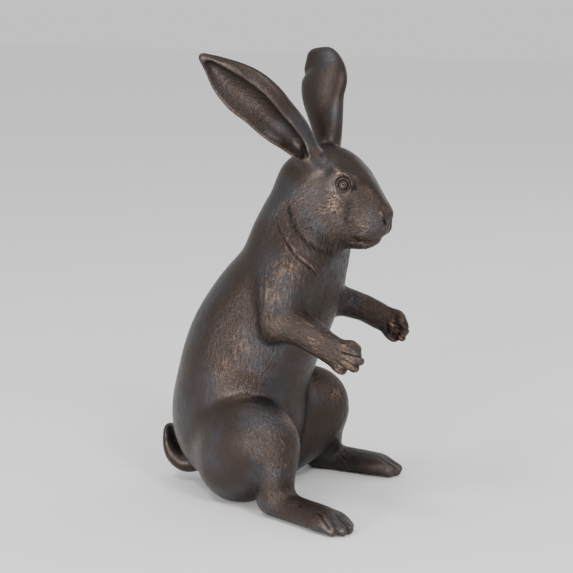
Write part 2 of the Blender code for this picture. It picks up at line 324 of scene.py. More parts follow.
def along_line(points: np.ndarray, line: np.ndarray) -> tuple[np.ndarray, np.ndarray, np.ndarray]:
    """Where each point lies beside a line.

    Args:
        points: The points to place.
        line: The line's own points, in order.

    Returns:
        The distance to the line, the share of the way along it, and the offset from it.
    """
    starts, steps = line[:-1], np.diff(line, axis=0)
    lengths = (steps ** 2).sum(axis=1)
    best = np.full(len(points), np.inf)
    share, offset = np.zeros(len(points)), np.zeros((len(points), 3))
    for number, (start, step, length) in enumerate(zip(starts, steps, lengths)):
        t = np.clip((points - start) @ step / length, 0.0, 1.0)
        away = points - start - t[:, None] * step
        far = np.linalg.norm(away, axis=1)
        nearer = far < best
        best[nearer], offset[nearer] = far[nearer], away[nearer]
        share[nearer] = (number + t[nearer]) / len(steps)
    return best, share, offset


def other_side(point: Sequence[float]) -> Place:
    """The matching place across the middle of the head, which is turned a little to its right.

    The middle moves sideways by the head's turn for each millimetre in front of the neck.

    Args:
        point: A place on one side.

    Returns:
        The place on the other side.
    """
    x, y, z = point
    middle = HEAD_MIDDLE + HEAD_TURN * max(NECK_FRONT - y, 0.0)
    return 2 * middle - x, y, z


@dataclass(frozen=True)
class Crease:
    """A chased line: a groove that fades at its ends, with an optional ridge beside it.

    The depth falls off as a bell of the distance from the line, and the ridge is a second bell
    set to one side. A negative depth makes a raised line.
    """

    stops: Sequence[Sequence[float]]
    depth: float
    width: float
    facing: Sequence[float] = (-1.0, 0.0, 0.0)
    ridge: float = 0.0
    ridge_side: Sequence[float] = (0.0, 0.0, 1.0)
    fade: float = 0.15
    ridge_at: float = 2.0           # the ridge's distance, in widths of the groove
    reach: float = 5.0              # how far out it is worked out, in widths
    turned_away: float = 0.35       # share of the normal along facing that takes the full cut

    def on_left(self) -> "Crease":
        """Mirrors the line.

        Returns:
            The same line on the rabbit's left.
        """
        flip = np.array((-1.0, 1.0, 1.0))
        return replace(self, stops=[other_side(stop) for stop in self.stops],
                       facing=self.facing * flip, ridge_side=self.ridge_side * flip)

    def carve(self, points: np.ndarray, normals: np.ndarray) -> np.ndarray:
        """Moves the points near the line along their normals.

        Args:
            points: The skin's points.
            normals: Their outward directions.

        Returns:
            The moved points.
        """
        line = smooth_line(self.stops)
        reach = self.reach * self.width
        low, high = line.min(axis=0) - reach, line.max(axis=0) + reach
        near = np.flatnonzero(np.all((points > low) & (points < high), axis=1))
        distance, share, offset = along_line(points[near], line)
        ends = step_up(share, 0.0, self.fade) * step_up(1.0 - share, 0.0, self.fade)
        facing = normals[near] @ unit(np.array(self.facing, float))
        front = step_up(facing, 0.0, self.turned_away)
        beside = offset @ unit(np.array(self.ridge_side, float))
        lift = (-self.depth * bell(distance, self.width)
                + self.ridge * bell(distance - self.ridge_at * self.width, self.width)
                * (beside > 0))
        moved = points.copy()
        moved[near] += normals[near] * (lift * ends * front)[:, None]
        return moved


@dataclass(frozen=True)
class Cleft:
    """The groove between two toes or fingers, which runs round them from top to sole.

    Its depth falls off as a bell of the distance from the plane between the two. It deepens
    from start to end, and stops a little way past the tips.
    """

    start: Place
    end: Place
    row: Place                      # the way across from one toe to the next
    depth: float = 1.5
    width: float = 1.2
    reach: float = 15.0
    reach_fade: float = 4.0
    deepest: float = 0.8            # where it is deepest, as a share of the way to the end
    past_tip: tuple[float, float] = (16.0, 10.0)    # past the end: gone, and starting to go

    def carve(self, points: np.ndarray, normals: np.ndarray) -> np.ndarray:
        """Moves the points near the plane along their normals.

        Args:
            points: The skin's points.
            normals: Their outward directions.

        Returns:
            The moved points.
        """
        start, run = np.array(self.start), np.subtract(self.end, self.start)
        length = np.linalg.norm(run)
        along, row = run / length, np.array(self.row, float)
        row = unit(row - (row @ along) * along)
        offset = points - start
        way = offset @ along
        beside = np.abs(offset @ row)
        away = np.linalg.norm(offset - np.outer(way, along), axis=1)
        gone, going = length + np.array(self.past_tip)
        reached = step_up(way, 0.0, self.deepest * length)
        reached *= step_up(self.reach - away, 0.0, self.reach_fade) * step_up(way, gone, going)
        lift = -self.depth * bell(beside, self.width) * reached
        return points + normals * lift[:, None]


@dataclass(frozen=True)
class Eye:
    """A round eye: a ball with a ringed iris and a drilled pupil, inside two thick lids.

    The height above the eye's own plane is a function of the distance from its middle: a
    parabola for the ball, a roof for the lid round it, and a bell for each ring and groove. The
    upper lid is the thicker one, and the crease outside it fades out below.
    """

    middle: Place
    outwards: Place
    ball_height: float = 2.2
    ball_round: float = 8.0
    pupil_depth: float = 1.4
    pupil_width: float = 0.7
    iris: float = 1.9               # the radius; ring, gap, lid, crease and reach are radii too
    iris_height: float = 0.4
    iris_width: float = 0.6
    ring: float = 3.3
    ring_depth: float = 0.5
    ring_width: float = 0.55
    gap: float = 5.4
    gap_depth: float = 1.3
    gap_width: float = 0.6
    lid: float = 6.8
    lid_height: float = 1.5
    lid_upper: float = 0.5
    lid_slope: float = 0.35
    crease: float = 8.9
    crease_depth: float = 0.7
    crease_upper: float = 0.8
    crease_width: float = 0.9
    reach: float = 14.0

    def carve(self, points: np.ndarray, normals: np.ndarray) -> np.ndarray:
        """Moves the points round the eye to its height.

        Args:
            points: The skin's points.
            normals: Their outward directions.

        Returns:
            The moved points.
        """
        axis = unit(np.array(self.outwards, float))
        up = unit(np.array((0.0, 0.0, 1.0)) - axis[2] * axis)
        front = unit(np.array((0.0, -1.0, 0.0)) + axis[1] * axis - up * -up[1])
        offset = points - np.array(self.middle)
        height = offset @ axis
        rise = offset @ up
        radius = np.hypot(offset @ front, rise)
        near = np.flatnonzero((radius < self.reach) & (np.abs(height) < self.reach)
                              & (normals @ axis > -0.2))
        r, h = radius[near], height[near]
        turn_up = rise[near] / (r + 1e-6)
        ball = self.ball_height - r ** 2 / (2 * self.ball_round)
        ball += self.iris_height * bell(r - self.iris, self.iris_width)
        ball -= self.ring_depth * bell(r - self.ring, self.ring_width)
        ball -= self.pupil_depth * bell(r, self.pupil_width)
        lids = self.lid_height + self.lid_upper * turn_up - self.lid_slope * np.abs(r - self.lid)
        upper = self.crease_upper * step_up(turn_up, -0.2, 0.6)
        crease = -(self.crease_depth + upper) * bell(r - self.crease, self.crease_width)
        groove = -self.gap_depth * bell(r - self.gap, self.gap_width)
        inside = np.where(r < self.gap, ball, lids) + groove
        share = step_up(r, self.lid + 0.6, self.reach)
        wanted = inside * (1.0 - share) + h * share + crease
        moved = points.copy()
        moved[near] += np.outer(wanted - h, axis)
        return moved


class Flow(Enum):
    """The ways that the coat lies, the same on both sides of the rabbit."""

    DOWN = (0.0, 0.15, -1.0)
    DOWN_BACK = (0.0, 0.75, -0.65)
    BACK = (0.0, 1.0, -0.15)
    DOWN_FRONT = (0.0, -0.55, -0.8)
    FRONT = (0.0, -0.95, -0.3)

    def axes(self) -> tuple[np.ndarray, np.ndarray, np.ndarray]:
        """Directions for noise that is drawn out along the flow.

        Returns:
            The way itself and two directions square to it.
        """
        along = unit(np.array(self.value))
        across = unit(np.cross(along, (0.0, 0.5, 1.0)))
        return along, across, np.cross(along, across)


@dataclass(frozen=True)
class Lay:
    """How the fur lies round one place, and how deep its strokes are."""

    at: Place
    flow: Flow
    depth: float
    spread: float = 26.0


COAT = (
    Lay((-38, -86, 352), Flow.BACK, 0.22, 16),
    Lay((-40, -63, 332), Flow.DOWN_BACK, 0.26, 18),
    Lay((-26, -123, 325), Flow.BACK, 0.20, 14),
    Lay((-20, -76, 392), Flow.BACK, 0.05, 20),
    Lay((-36, -31, 372), Flow.DOWN_BACK, 0.08, 20),
    Lay((-45, -31, 318), Flow.DOWN, 0.28, 24),
    Lay((-50, -59, 290), Flow.DOWN_FRONT, 0.34, 22),
    Lay((-15, -86, 280), Flow.DOWN, 0.34, 24),
    Lay((0, -81, 235), Flow.DOWN, 0.30, 30),
    Lay((-66, -29, 262), Flow.DOWN, 0.26, 24),
    Lay((-40, 24, 300), Flow.DOWN, 0.10, 30),
    Lay((0, 49, 270), Flow.DOWN, 0.04, 45),
    Lay((-62, 29, 225), Flow.DOWN, 0.22, 30),
    Lay((-70, 19, 170), Flow.DOWN, 0.32, 28),
    Lay((-40, 89, 170), Flow.DOWN, 0.06, 45),
    Lay((-40, 99, 90), Flow.DOWN, 0.07, 45),
    Lay((-80, -39, 212), Flow.DOWN_FRONT, 0.36, 16),
    Lay((-84, -71, 208), Flow.FRONT, 0.28, 18),
    Lay((-85, -106, 196), Flow.FRONT, 0.24, 14),
    Lay((-75, 29, 120), Flow.DOWN_FRONT, 0.07, 28),
    Lay((-95, 9, 85), Flow.DOWN_FRONT, 0.12, 26),
    Lay((-90, -36, 100), Flow.DOWN_FRONT, 0.26, 22),
    Lay((-88, -51, 70), Flow.DOWN, 0.26, 20),
    Lay((-95, -46, 35), Flow.DOWN_FRONT, 0.22, 18),
    Lay((-105, -86, 25), Flow.FRONT, 0.16, 20),
    Lay((0, -41, 120), Flow.DOWN, 0.14, 45),
    Lay((-58, -8, 452), Flow.DOWN_BACK, 0.16, 13),
    Lay((-70, 14, 474), Flow.DOWN_BACK, 0.16, 13),
    Lay((-56, -40, 436), Flow.DOWN_FRONT, 0.05, 14),
    Lay((-30, -70, 402), Flow.BACK, 0.05, 16),
)


@dataclass(frozen=True)
class Fur:
    """Short chased strokes that follow the lay of the coat."""

    coat: Sequence[Lay] = COAT
    seed: int = 7
    width: float = 2.3              # how far apart the strokes are, in millimetres
    length: float = 8.0
    lay_reach: float = 1.3          # width of a lay's bell, in its spreads
    bare: float = 0.02              # weight of bare bronze, which wins far from every lay
    fine_share: float = 0.4         # height of the finer strokes against the main ones
    fine_size: float = 1.9          # how much finer they are

    def lays(self) -> list[tuple[np.ndarray, Lay]]:
        """Each lay with its place, and again on the left where it isn't in the middle."""
        return [(np.array(lay.at, float) * (mirror, 1, 1), lay)
                for lay in self.coat for mirror in ((1, -1) if lay.at[0] else (1,))]

    def shares(self, points: np.ndarray) -> tuple[dict[Flow, np.ndarray], np.ndarray]:
        """How much of each flow there is at each point, and the depth of the strokes.

        Each lay counts as a bell of the distance from its place.

        Args:
            points: The skin's points.

        Returns:
            The share of each flow, and the depth, with one number for each point.
        """
        shares = {flow: np.zeros(len(points)) for flow in Flow}
        depth = np.zeros(len(points))
        for at, lay in self.lays():
            weight = bell(np.linalg.norm(points - at, axis=1), lay.spread * self.lay_reach)
            shares[lay.flow] += weight
            depth += weight * lay.depth
        total = sum(shares.values()) + self.bare
        depth /= total
        return {flow: share / total for flow, share in shares.items()}, depth

    def strokes(self, points: np.ndarray, shares: dict[Flow, np.ndarray]) -> np.ndarray:
        """The strokes' height, from about -1 to 1.

        Each flow has noise drawn out along it; the flows are summed by their shares and evened
        out by the root of the summed squares.

        Args:
            points: The skin's points.
            shares: How much of each flow there is at each point.

        Returns:
            One height for each point.
        """
        grain, finer = Grain(self.seed), Grain(self.seed + 1)
        total, squares = np.zeros((2, len(points)))
        for flow, share in shares.items():
            near = np.flatnonzero(share > self.bare)
            along, across, outer = flow.axes()
            local = np.column_stack([points[near] @ along / self.length,
                                     points[near] @ across / self.width,
                                     points[near] @ outer / self.width])
            stroke = grain.at(local + 40.0)
            stroke += self.fine_share * finer.at(local * self.fine_size + 11.0)
            total[near] += share[near] * stroke
            squares[near] += share[near] ** 2
        return total / (np.sqrt(squares) + self.bare)


@dataclass(frozen=True)
class WearAndPaintedLightSpot:
    """A place where the patina is rubbed bright, partly as a painted highlight, or darkened as
    painted shade where the amount is below zero.
    """

    at: Place
    amount: float
    spread: float = 8.0
    paired: bool = True


# Bright spots are copper wear, some of them painted highlights and painted fill light; spots below
# zero are painted shade in hollows and creases
WEAR_AND_PAINTED_LIGHT_SPOTS = (
    WearAndPaintedLightSpot((-34, -92, 385), 0.9, 6),
    WearAndPaintedLightSpot((-37, -86, 359), 0.65, 9),
    WearAndPaintedLightSpot((-37, -88, 345), 0.8, 9),
    WearAndPaintedLightSpot((-38, -72, 340), 0.5, 9),
    WearAndPaintedLightSpot((-29, -117, 322), 0.4, 9),
    WearAndPaintedLightSpot((-21, -136, 341), 0.6, 4),
    WearAndPaintedLightSpot((-20, -122, 366), 0.5, 8),
    WearAndPaintedLightSpot((-34, -64, 405), 1.2, 7),
    WearAndPaintedLightSpot((-41, -56, 403), -1.5, 4),
    WearAndPaintedLightSpot((-70, -20, 265), 0.25, 14),
    WearAndPaintedLightSpot((-84, -40, 214), 0.6, 14),
    WearAndPaintedLightSpot((-86, -85, 203), 0.5, 12),
    WearAndPaintedLightSpot((-84, -119, 204), 0.8, 6),
    WearAndPaintedLightSpot((-87, -124, 190), 0.8, 6),
    WearAndPaintedLightSpot((-86, -112, 181), 0.6, 6),
    WearAndPaintedLightSpot((-70, 14, 188), 0.5, 22),
    WearAndPaintedLightSpot((-68, -48, 105), 0.9, 11),
    WearAndPaintedLightSpot((-84, -48, 75), 0.4, 14),
    WearAndPaintedLightSpot((-108, -110, 22), 0.3, 14),
    WearAndPaintedLightSpot((61, -120, 198), 1.3, 4.5, False),
    WearAndPaintedLightSpot((60.5, -127, 190), 1.3, 3.5, False),
    WearAndPaintedLightSpot((59, -131, 184), 1.0, 3.5, False),
    WearAndPaintedLightSpot((60, -114, 190), -1.4, 5, False),
    WearAndPaintedLightSpot((-31, -109, 369), -1.6, 5),
    WearAndPaintedLightSpot((-37.5, -96.2, 371.5), 0.7, 3.5),
    WearAndPaintedLightSpot((-33, -103, 342), -0.8, 6),
    WearAndPaintedLightSpot((-31, -101, 322), -0.8, 6),
    WearAndPaintedLightSpot((-40, -34, 342), -0.6, 10),
    WearAndPaintedLightSpot((-49, -48, 321), -0.6, 9),
    WearAndPaintedLightSpot((-50, -66, 305), -0.7, 9),
    WearAndPaintedLightSpot((-30, -82, 295), -0.9, 12),
    WearAndPaintedLightSpot((-66, -42, 282), 0.6, 17),
    WearAndPaintedLightSpot((-78, -30, 248), 0.5, 16),
    WearAndPaintedLightSpot((-74, 32, 158), 0.5, 20),
    WearAndPaintedLightSpot((-65, -2, 134), 0.7, 16),
    WearAndPaintedLightSpot((-29, -116, 336), 0.35, 8),
    WearAndPaintedLightSpot((-14, 132, 50), -1.3, 30, False),
    WearAndPaintedLightSpot((-66, 18, 128), 0.5, 12),
    WearAndPaintedLightSpot((-78, 12, 492), -0.8, 26),
    WearAndPaintedLightSpot((-60, -22, 455), -0.6, 22),
    WearAndPaintedLightSpot((-52, -12, 440), -0.3, 14),
)

EYE = Eye((-35.0, -96.2, 371.5), (-0.97, -0.2, 0.1))
EYES = (EYE, replace(EYE, middle=other_side(EYE.middle), outwards=(0.97, -0.2, 0.1)))
HEAD_LINES = (
    # Neck fold, and the hollow between cheek and ruff
    Crease([(-38, -14.7, 336), (-46, -23, 322), (-57, -36.7, 308), (-64, -53, 294), (-62, -64, 285),
            (-54, -71, 275), (-43.5, -73, 258)], 1.1, 1.7, (-1, -0.3, 0.1), 0.3, (0, -0.5, 1), 0.3),
    Crease([(-37, -27.6, 353), (-40.6, -31.6, 342.4), (-48.3, -44, 323.5), (-52, -64, 307),
            (-42, -77, 298), (-21, -85, 291)], 2.4, 4.0, (-1, -0.5, 0.1), fade=0.3),
    # Hollow between cheek and muzzle
    Crease([(-31, -107, 363), (-33, -104, 350), (-33, -102, 333), (-27, -101, 314)], 1.6, 4.5,
           fade=0.35),
    # Tear corner and brow
    Crease([(-34, -104, 367), (-32, -108, 368.5), (-29, -113, 370)], 1.5, 3.0, fade=0.4),
    Crease([(-34, -106, 372), (-32, -112, 366), (-31, -116, 358)], 0.9, 4.0, fade=0.4),
    Crease([(-36, -84, 381), (-35, -92, 385), (-32, -100, 384), (-30, -106, 379)], -1.6, 3.2,
           fade=0.4),
    Crease([(-37, -84, 364), (-37, -90, 360), (-35, -98, 357)], -0.9, 4.0, fade=0.4),
    # Nostril and nose wing
    Crease([(-22, -133, 343), (-21.5, -136, 340), (-20.7, -138, 336)], -1.6, 2.2,
           (-0.7, -0.7, 0), fade=0.3),
    Crease([(-21.5, -138, 335), (-19, -140.5, 331), (-17.5, -141.5, 326)], 2.6, 2.3,
           (-0.7, -0.7, 0), fade=0.3),
    # Mouth
    Crease([(-26, -99, 309), (-24, -104, 306.8), (-20.5, -113, 307.5), (-18, -124, 309.5),
            (-13.6, -131.6, 311.6)], 1.2, 1.3, (-0.8, -0.5, -0.4), 0.2),
    # Cheek lines
    Crease([(-39.6, -54, 346.4), (-38.8, -67, 345.9), (-37.5, -80, 345.2)], 0.35, 1.0),
    # Rolled ear rim
    Crease([(-83, 32, 505.5), (-78.2, 13, 499), (-74.3, 0.6, 485.2), (-68.6, -13.3, 468),
            (-60.3, -28.5, 446.7), (-53, -40.7, 429.6), (-44, -50, 413)], -0.5, 1.3,
           (-1, -0.2, 0), fade=0.06),
    # Ear root
    Crease([(-38, -47, 411), (-40, -53, 405), (-41.5, -57, 399)], 3.2, 2.4, fade=0.3),
    Crease([(-31, -40, 409), (-34, -46, 404), (-37.5, -51, 397)], 1.5, 1.6, (-1, 0.3, 0.2), 0.9,
           (0, -1, 0.3), 0.3),
)
BODY_LINES = (
    # Lip split, which runs down from the nose
    Crease([(-9.6, -143, 334), (-9.6, -143, 325), (-9.4, -139, 314)], 1.6, 1.5, (0, -1, 0)),
    # Rear edges of the right upper arm and of the toes beside the sole
    Crease([(-58, -14, 288), (-68.3, -16.2, 270.7), (-77.3, -19.1, 253.6), (-81.3, -19.6, 236.4),
            (-82, -18.7, 220.7)], 0.9, 3.0, (-0.9, 0.5, 0), 0.6, (0, -1, 0)),
    Crease([(-113, -98, 24), (-117.5, -106, 20.5), (-123.8, -114.8, 15.2), (-126.5, -124.2, 5)],
           1.5, 1.8, (-0.6, 0, 0.7), 0.4, (-0.3, -1, 0), 0.2),
    # Left palm
    Crease([(58, -112, 201), (59.5, -113, 194), (60, -114, 186)], 1.5, 2.4, (-1, 0, 0)),
    Crease([(61, -120, 194.9), (61, -125, 193.5), (60.5, -131, 193)], 1.4, 1.3, (-1, 0, 0)),
    Crease([(60.5, -118, 187), (60.5, -124, 186.5), (59.5, -129, 186)], 1.4, 1.3, (-1, 0, 0)),
)
CLEFTS = (
    Cleft((-75.5, -109.3, 196), (-76, -130.8, 193), (0.2, 0.1, 1)),
    Cleft((-78.5, -110.3, 192.5), (-80, -131.3, 183.5), (0.2, 0.1, 1)),
    Cleft((-78.5, -105.3, 189.5), (-80.5, -121.3, 177.5), (0.2, 0.3, 1)),
    Cleft((71.5, -111.3, 202.5), (66, -130.3, 194.5), (0.1, 0.1, 1)),
    Cleft((69, -113.8, 196.5), (64, -130.8, 185.5), (0.1, 0.1, 1)),
    Cleft((68.5, -110.8, 193), (63.5, -124.3, 181), (0.1, 0.3, 1)),
    Cleft((-96, -107, 14), (-103.5, -132, 10), (0.96, -0.27, 0), 0.7),
    Cleft((-104, -105, 14), (-112, -132, 10), (0.96, -0.27, 0), 0.7),
    Cleft((-112.5, -103, 14), (-120, -127, 10), (0.96, -0.27, 0), 0.4),
    Cleft((98, -80, 14), (100, -108, 10), (1, 0.07, 0), 0.9),
    Cleft((107, -81, 14), (109, -109, 10), (1, 0.07, 0), 0.9),
    Cleft((116, -80, 14), (118, -105, 10), (1, 0.07, 0), 0.9),
)
FEATURES = (*HEAD_LINES, *(line.on_left() for line in HEAD_LINES), *BODY_LINES, *CLEFTS, *EYES)


@dataclass(frozen=True)
class Relief:
    """One scale at which the patina and its painted shade ask how raised or sunk the skin is.

    The height is measured above the skin that is left after so many rounds of smoothing, and
    full counts as one.
    """

    name: str
    rounds: int
    full: float


RELIEFS = (Relief("fine_relief", 3, 0.12), Relief("relief", 14, 0.6),
           Relief("broad_relief", 160, 4.0))


@dataclass
class Casting:
    """The whole rabbit as one closed skin of bronze.

    The fine mesh is worked on a voxel grid, and the finished skin is thinned to the triangles
    that its own detail needs.
    """

    splits: int = 4
    voxel: float = 1.0
    quick_voxel: float = 1.7
    triangles: int = 190000
    eyes: Sequence[Eye] = EYES
    features: Sequence[Crease | Cleft | Eye] = FEATURES
    wear_and_painted_light_spots: Sequence[WearAndPaintedLightSpot] = WEAR_AND_PAINTED_LIGHT_SPOTS
    fur: Fur = Fur()
    fur_relief: float = 1.25        # millimetres of relief for each unit of a lay's depth
    fine_reach: float = 15.0
    reliefs: Sequence[Relief] = RELIEFS

    def rounded_skin(self, node: bpy.types.Object) -> Skin:
        """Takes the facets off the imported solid.

        Args:
            node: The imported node, which is left alone.

        Returns:
            A finely meshed skin with the solid's form.
        """
        patches = curved_patches(merged(node.data), self.splits)
        size = self.voxel
        mesh = modified(patches, "REMESH", mode="VOXEL", voxel_size=size * MM)
        skin = Skin(mesh)
        skin.move_to(skin.averaged(skin.points(), rounds=4))
        return skin

    def refine(self, skin: Skin, middles: Iterable[Sequence[float]]) -> Skin:
        """Cuts each face near some places in four.

        Args:
            skin: The skin to copy.
            middles: The places.

        Returns:
            The finer copy.
        """
        points = skin.points()
        near = np.zeros(len(points), bool)
        for middle in middles:
            near |= np.linalg.norm(points - np.array(middle), axis=1) < self.fine_reach
        bm = bmesh.new()
        bm.from_mesh(skin.mesh)
        bm.verts.ensure_lookup_table()
        edges = [edge for edge in bm.edges
                 if near[edge.verts[0].index] and near[edge.verts[1].index]]
        bmesh.ops.subdivide_edges(bm, edges=edges, cuts=1, use_grid_fill=True)
        mesh = bpy.data.meshes.new("refined")
        bm.to_mesh(mesh)
        bm.free()
        return Skin(mesh)

    def carve(self, skin: Skin) -> None:
        """Cuts the features and then the fur into the skin, and stores the lay of the coat on it.

        Args:
            skin: The skin, which is changed.
        """
        for feature in self.features:
            skin.move_to(feature.carve(skin.points(), skin.normals()))
        points, normals = skin.points(), skin.normals()
        shares, depth = self.fur.shares(points)
        strokes = self.fur.strokes(points, shares)
        for eye in self.eyes:
            distance = np.linalg.norm(points - np.array(eye.middle), axis=1)
            depth *= step_up(distance, eye.lid + 2, eye.reach + 4)
        skin.keep("stroke", strokes)
        skin.keep("fur_depth", depth)
        for flow, share in shares.items():
            skin.keep(flow.name.lower(), share)
        # Stores the spots: wear and painted highlights above zero, painted shade below zero
        skin.keep("touched", self.touched(points))
        skin.move_to(points + normals * (strokes * depth * self.fur_relief)[:, None])

    def touched(self, points: np.ndarray) -> np.ndarray:
        """How much each point is brightened by wear and painted highlights, or darkened by painted
        shade.

        Each touch adds a bell of the distance from its place.

        Args:
            points: The skin's points.

        Returns:
            One number for each point, below zero where it is darker.
        """
        total = np.zeros(len(points))
        for listed_spot in self.wear_and_painted_light_spots:
            spots = (listed_spot.at, other_side(listed_spot.at)) if listed_spot.paired else (listed_spot.at,)
            for spot in spots:
                distance = np.linalg.norm(points - np.array(spot), axis=1)
                total += listed_spot.amount * bell(distance, listed_spot.spread)
        return total

    def measure(self, skin: Skin) -> None:
        """Stores how raised or sunk each point is, at each scale, for the patina's wear and its
        painted shade.

        Args:
            skin: The carved skin.
        """
        points, normals = skin.points(), skin.normals()
        smooth = points
        for relief in self.reliefs:
            smooth = skin.averaged(smooth, relief.rounds)
            height = ((points - smooth) * normals).sum(axis=1)
            skin.keep(relief.name, np.clip(height / relief.full, -1.0, 1.0))

    def thinned(self, mesh: bpy.types.Mesh) -> bpy.types.Mesh:
        """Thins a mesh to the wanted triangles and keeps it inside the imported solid's box.

        Args:
            mesh: The carved mesh.

        Returns:
            The thinned mesh.
        """
        faces = sum(len(polygon.vertices) - 2 for polygon in mesh.polygons)
        if faces > self.triangles:
            mesh = modified(mesh, "DECIMATE", ratio=self.triangles / faces)
        low, high = (np.array(corner) / MM for corner in CAD_BOX)
        skin = Skin(mesh)
        skin.move_to(np.clip(skin.points(), low, high))
        return mesh

    def build(self) -> bpy.types.Object:
        """Makes the finished piece.

        Returns:
            The rabbit's object, at the origin, without its finish.
        """
        skin = self.rounded_skin(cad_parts["rabbit"])
        skin = self.refine(skin, [eye.middle for eye in self.eyes])
        self.carve(skin)
        self.measure(skin)
        mesh = self.thinned(skin.mesh)
        mesh.name = "rabbit_casting"
        mesh.materials.clear()
        mesh.shade_smooth()
        rabbit = bpy.data.objects.new("rabbit_casting", mesh)
        bpy.context.scene.collection.objects.link(rabbit)
        return rabbit


class Value:
    """A shader value that can be worked with as a number is."""

    def __init__(self, shop: "NodeShop", socket: bpy.types.NodeSocket) -> None:
        """Wraps one output socket."""
        self.shop, self.socket = shop, socket

    def math(self, operation: str, *others: object) -> "Value":
        """This value and others put through one Math node."""
        return self.shop.node("ShaderNodeMath", {"operation": operation}, self, *others)

    def __add__(self, other: object) -> "Value":
        """The sum."""
        return self.math("ADD", other)

    __radd__ = __add__

    def __sub__(self, other: object) -> "Value":
        """The difference."""
        return self.math("SUBTRACT", other)

    def __rsub__(self, other: object) -> "Value":
        """The reflected difference, so that 1 - mask works."""
        return self.shop.node("ShaderNodeMath", {"operation": "SUBTRACT"}, other, self)

    def __mul__(self, other: object) -> "Value":
        """The product."""
        return self.math("MULTIPLY", other)

    __rmul__ = __mul__

    def between(self, low: float, high: float) -> "Value":
        """Zero at low, one at high, smooth between them."""
        settings = {"interpolation_type": "SMOOTHSTEP"}
        return self.shop.node("ShaderNodeMapRange", settings, self, low, high)


class NodeShop:
    """Makes the nodes of one material."""

    def __init__(self, material: bpy.types.Material) -> None:
        """Opens a material's node tree.

        Args:
            material: The material to fill.
        """
        material.use_nodes = True
        self.tree = material.node_tree
        self.shader = self.tree.nodes["Principled BSDF"]

    def feed(self, socket: bpy.types.NodeSocket, value: object) -> None:
        """Links a value to a socket, or sets a plain number or colour there.

        Args:
            socket: The socket that is fed.
            value: A value of this shop, or a number or colour.
        """
        if isinstance(value, Value):
            self.tree.links.new(value.socket, socket)
        else:
            socket.default_value = value

    def node(self, kind: str, settings: dict, *values: object, out: object = 0,
             **named: object) -> Value:
        """Any node.

        Args:
            kind: The node's type.
            settings: Its settings, which are set first.
            values: What its first sockets get, in order.
            out: The output that is wanted, by place or name.
            named: What its other sockets get, by name, with _ for a space.

        Returns:
            The wanted output.
        """
        made = self.tree.nodes.new(kind)
        for name, value in settings.items():
            setattr(made, name, value)
        for socket, value in zip(made.inputs, values):
            self.feed(socket, value)
        for name, value in named.items():
            self.feed(made.inputs[name.replace("_", " ")], value)
        return Value(self, made.outputs[out])

    def attribute(self, name: str) -> Value:
        """A number stored on the mesh."""
        return self.node("ShaderNodeAttribute", {"attribute_name": name}, out="Fac")

    def noise(self, where: Value, size: float, detail: float = 2.0, rough: float = 0.5) -> Value:
        """Noise with features of about this size in millimetres."""
        return self.node("ShaderNodeTexNoise", {}, Vector=where, Scale=1.0 / (size * MM),
                         Detail=detail, Roughness=rough)

    def mix(self, share: object, one: object, other: object) -> Value:
        """One colour turning into another.

        Args:
            share: How much of the other there is.
            one: The colour where the share is zero.
            other: The colour where it is one.

        Returns:
            The mixed colour.
        """
        made = self.tree.nodes.new("ShaderNodeMix")
        made.data_type = "RGBA"
        self.feed(made.inputs[0], share)
        self.feed(made.inputs[6], one)
        self.feed(made.inputs[7], other)
        return Value(self, made.outputs[2])


